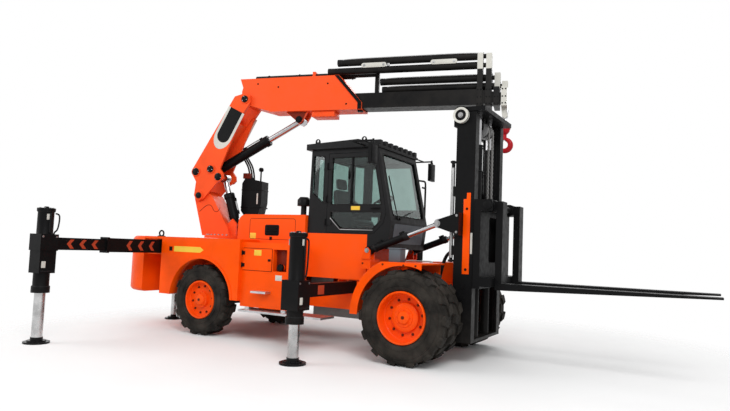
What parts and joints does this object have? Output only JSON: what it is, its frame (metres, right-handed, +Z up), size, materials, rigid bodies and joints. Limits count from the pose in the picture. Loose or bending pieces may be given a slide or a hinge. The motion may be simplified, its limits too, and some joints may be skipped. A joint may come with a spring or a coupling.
{
  "type": "crane forklift",
  "caption": "Heavy counterbalance fork truck with a mast and forks, a closed cab, a folding boom crane on its tail and telescoping outrigger legs.",
  "frame": {"origin": "centre of the overall box, on the ground", "axes": "+X forward along the forks, +Y to the left, +Z up"},
  "size_m": [9.2, 6.6358, 4.74],
  "materials": {
    "orange_paint": "gloss",
    "crane_paint": "gloss",
    "black_paint": "satin",
    "dark_grey_paint": "satin",
    "plate_aluminium": "brushed",
    "tinted_glass": "clear",
    "seat_fabric": "matte",
    "chromed_rod": "polished",
    "chain_steel": "oiled",
    "grey_steel": "satin",
    "tyre_rubber": "matte"
  },
  "bodies": {
    "chassis": {"chassis_frame": "black_paint", "counterweight": "orange_paint", "rear_body": "orange_paint", "hood": "orange_paint", "engine_block": "black_paint", "running_boards": "plate_aluminium", "front_fenders": "orange_paint", "cab_base": "orange_paint", "cab_frame": "dark_grey_paint", "cab_roof": "dark_grey_paint", "cab_glass": "tinted_glass", "operator_seat": "seat_fabric", "front_axle": "black_paint", "rear_axle": "black_paint", "cab_fittings": "black_paint"},
    "door": {"cab_door": "dark_grey_paint", "cab_door_glass": "tinted_glass"},
    "front_wheels_left": {"front_tyres_left": "tyre_rubber", "front_rims_left": "orange_paint"},
    "front_wheels_right": {"front_tyres_right": "tyre_rubber", "front_rims_right": "orange_paint"},
    "steer_left": {"knuckle_left": "black_paint"},
    "steer_right": {"knuckle_right": "black_paint"},
    "rear_wheel_left": {"rear_tyre_left": "tyre_rubber", "rear_rim_left": "orange_paint"},
    "rear_wheel_right": {"rear_tyre_right": "tyre_rubber", "rear_rim_right": "orange_paint"},
    "tilt_cylinder_barrels": {"tilt_barrels": "black_paint"},
    "tilt_cylinder_rods": {"tilt_rods": "chromed_rod"},
    "outer_mast": {"mast_outer": "black_paint"},
    "inner_mast": {"mast_inner": "black_paint", "lift_rods": "chromed_rod", "lift_chains": "chain_steel"},
    "fork_carriage": {"carriage": "black_paint", "forks": "black_paint"},
    "column": {"crane_column": "crane_paint", "crane_tank": "black_paint"},
    "boom_inner": {"inner_boom": "crane_paint"},
    "lift_barrel": {"lift_cylinder_barrel": "crane_paint"},
    "lift_rod": {"lift_cylinder_rod": "chromed_rod"},
    "fold_barrel": {"fold_cylinder_barrel": "crane_paint"},
    "fold_rod": {"fold_cylinder_rod": "chromed_rod"},
    "boom_outer": {"outer_boom": "crane_paint"},
    "stage_1": {"extension_1": "black_paint"},
    "stage_2": {"extension_2": "black_paint"},
    "stage_3": {"extension_3": "black_paint"},
    "stage_4": {"extension_4": "black_paint"},
    "load_hook": {"hook": "crane_paint"},
    "jack": {"jack_rod": "chromed_rod"},
    "rear_slide_left": {"rear_beam_inner_left": "black_paint"},
    "rear_arm_left": {"rear_beam_outer_left": "black_paint"},
    "rear_foot_left": {"rear_leg_left": "grey_steel"},
    "mid_arm_left": {"mid_beam_left": "black_paint"},
    "mid_foot_left": {"mid_leg_left": "grey_steel"},
    "rear_slide_right": {"rear_beam_inner_right": "black_paint"},
    "rear_arm_right": {"rear_beam_outer_right": "black_paint"},
    "rear_foot_right": {"rear_leg_right": "grey_steel"},
    "mid_arm_right": {"mid_beam_right": "black_paint"},
    "mid_foot_right": {"mid_leg_right": "grey_steel"}
  },
  "joints": [
    {"name": "front_wheel_left", "type": "hinge", "parent": "chassis", "child": "front_wheels_left", "pos_m": [1.05, 1, 0.613], "axis": [0, 1, 0], "continuous": true},
    {"name": "front_wheel_right", "type": "hinge", "parent": "chassis", "child": "front_wheels_right", "pos_m": [1.05, -1, 0.613], "axis": [0, 1, 0], "continuous": true},
    {"name": "steer_right", "type": "hinge", "parent": "chassis", "child": "steer_right", "pos_m": [-2.59, -0.7, 0.557], "axis": [0, 0, 1], "range_deg": [-32, 32]},
    {"name": "rear_wheel_right", "type": "hinge", "parent": "steer_right", "child": "rear_wheel_right", "pos_m": [-2.59, -1.003, 0.557], "axis": [0, 1, 0], "continuous": true},
    {"name": "steer_left", "type": "hinge", "parent": "chassis", "child": "steer_left", "pos_m": [-2.59, 0.7, 0.557], "axis": [0, 0, 1], "range_deg": [-32, 32]},
    {"name": "rear_wheel_left", "type": "hinge", "parent": "steer_left", "child": "rear_wheel_left", "pos_m": [-2.59, 1.003, 0.557], "axis": [0, 1, 0], "continuous": true},
    {"name": "cab_door", "type": "hinge", "parent": "chassis", "child": "door", "pos_m": [-0.575, -0.668, 2.3], "axis": [0, 0, -1], "range_deg": [0, 90]},
    {"name": "mast_tilt", "type": "hinge", "parent": "chassis", "child": "outer_mast", "pos_m": [1.39, 0, 0.6], "axis": [0, 1, 0], "range_deg": [-10, 6]},
    {"name": "tilt_barrel_swing", "type": "hinge", "parent": "chassis", "child": "tilt_cylinder_barrels", "pos_m": [0.25, 0, 1.45], "axis": [0, 1, 0], "range_deg": [-3.2, 2]},
    {"name": "tilt_rod_slide", "type": "slide", "parent": "tilt_cylinder_barrels", "child": "tilt_cylinder_rods", "axis": [0.9345, 0, 0.356], "range_m": [-0.215, 0.13]},
    {"name": "mast_lift", "type": "slide", "parent": "outer_mast", "child": "inner_mast", "axis": [0, 0, 1], "range_m": [0, 1.5]},
    {"name": "carriage_lift", "type": "slide", "parent": "inner_mast", "child": "fork_carriage", "axis": [0, 0, 1], "range_m": [-0.95, 0.95], "deforming": ["lift_chains"]},
    {"name": "slew", "type": "hinge", "parent": "chassis", "child": "column", "pos_m": [-3.19, 0, 1.545], "axis": [0, 0, 1], "range_deg": [0, 330]},
    {"name": "luff", "type": "hinge", "parent": "column", "child": "boom_inner", "pos_m": [-3.57975, -0.08998, 2.31], "axis": [0.225, -0.9744, 0], "range_deg": [-5, 16]},
    {"name": "lift_barrel_swing", "type": "hinge", "parent": "column", "child": "lift_barrel", "pos_m": [-2.96589, 0.05174, 1.83], "axis": [0.225, -0.9744, 0], "range_deg": [-1.6, 4.6]},
    {"name": "lift_rod_slide", "type": "slide", "parent": "lift_barrel", "child": "lift_rod", "axis": [-0.2945, -0.068, 0.9532], "range_m": [-0.045, 0.125]},
    {"name": "knuckle", "type": "hinge", "parent": "boom_inner", "child": "boom_outer", "pos_m": [-2.78076, 0.09448, 4.05], "axis": [0.225, -0.9744, 0], "range_deg": [0, 65]},
    {"name": "fold_barrel_swing", "type": "hinge", "parent": "boom_inner", "child": "fold_barrel", "pos_m": [-3.37513, -0.04274, 2.79], "axis": [0.225, -0.9744, 0], "range_deg": [-0.5, 27.5]},
    {"name": "fold_rod_slide", "type": "slide", "parent": "fold_barrel", "child": "fold_rod", "axis": [0.8505, 0.1964, 0.4879], "range_m": [-0.01, 0.6]},
    {"name": "extend_1", "type": "slide", "parent": "boom_outer", "child": "stage_1", "axis": [0.9744, 0.225, 0], "range_m": [0, 1.1]},
    {"name": "extend_2", "type": "slide", "parent": "stage_1", "child": "stage_2", "axis": [0.9744, 0.225, 0], "range_m": [0, 1.51]},
    {"name": "extend_3", "type": "slide", "parent": "stage_2", "child": "stage_3", "axis": [0.9744, 0.225, 0], "range_m": [0, 1.51]},
    {"name": "extend_4", "type": "slide", "parent": "stage_3", "child": "stage_4", "axis": [0.9744, 0.225, 0], "range_m": [0, 1.51]},
    {"name": "hook_swing", "type": "hinge", "parent": "stage_4", "child": "load_hook", "pos_m": [1.63313, 1.11351, 3.69], "axis": [-0.225, 0.9744, 0], "range_deg": [-30, 90]},
    {"name": "rear_slide_left", "type": "slide", "parent": "chassis", "child": "rear_slide_left", "axis": [0, -1, 0], "range_m": [0, 1]},
    {"name": "rear_arm_left", "type": "slide", "parent": "rear_slide_left", "child": "rear_arm_left", "axis": [0, -1, 0], "range_m": [0, 0.82]},
    {"name": "rear_foot_left", "type": "slide", "parent": "rear_arm_left", "child": "rear_foot_left", "axis": [0, 0, 1], "range_m": [0, 0.45]},
    {"name": "mid_arm_left", "type": "slide", "parent": "chassis", "child": "mid_arm_left", "axis": [0, -1, 0], "range_m": [0, 0.74]},
    {"name": "mid_foot_left", "type": "slide", "parent": "mid_arm_left", "child": "mid_foot_left", "axis": [0, 0, 1], "range_m": [0, 0.4]},
    {"name": "rear_slide_right", "type": "slide", "parent": "chassis", "child": "rear_slide_right", "axis": [0, 1, 0], "range_m": [0, 1]},
    {"name": "rear_arm_right", "type": "slide", "parent": "rear_slide_right", "child": "rear_arm_right", "axis": [0, 1, 0], "range_m": [0, 0.82]},
    {"name": "rear_foot_right", "type": "slide", "parent": "rear_arm_right", "child": "rear_foot_right", "axis": [0, 0, 1], "range_m": [0, 0.45]},
    {"name": "mid_arm_right", "type": "slide", "parent": "chassis", "child": "mid_arm_right", "axis": [0, 1, 0], "range_m": [0, 0.74]},
    {"name": "mid_foot_right", "type": "slide", "parent": "mid_arm_right", "child": "mid_foot_right", "axis": [0, 0, 1], "range_m": [0, 0.4]},
    {"name": "jack_lift", "type": "slide", "parent": "chassis", "child": "jack", "axis": [0, 0, 1], "range_m": [0, 0.45]}
  ],
  "couplings": [
    {"joint": "steer_left", "follows": "steer_right", "ratio": 1},
    {"joint": "tilt_barrel_swing", "follows": "mast_tilt", "ratio": 0.3},
    {"joint": "tilt_rod_slide", "follows": "mast_tilt", "m_per_rad": 1.205},
    {"joint": "lift_barrel_swing", "follows": "luff", "ratio": 0.272},
    {"joint": "lift_rod_slide", "follows": "luff", "m_per_rad": 0.433},
    {"joint": "fold_barrel_swing", "follows": "knuckle", "ratio": 0.412},
    {"joint": "fold_rod_slide", "follows": "knuckle", "m_per_rad": 0.5158},
    {"joint": "extend_2", "follows": "extend_1", "ratio": 1.364},
    {"joint": "extend_3", "follows": "extend_1", "ratio": 1.364},
    {"joint": "extend_4", "follows": "extend_1", "ratio": 1.364},
    {"joint": "rear_arm_left", "follows": "rear_slide_left", "ratio": 0.82},
    {"joint": "rear_arm_right", "follows": "rear_slide_right", "ratio": 0.82}
  ]
}
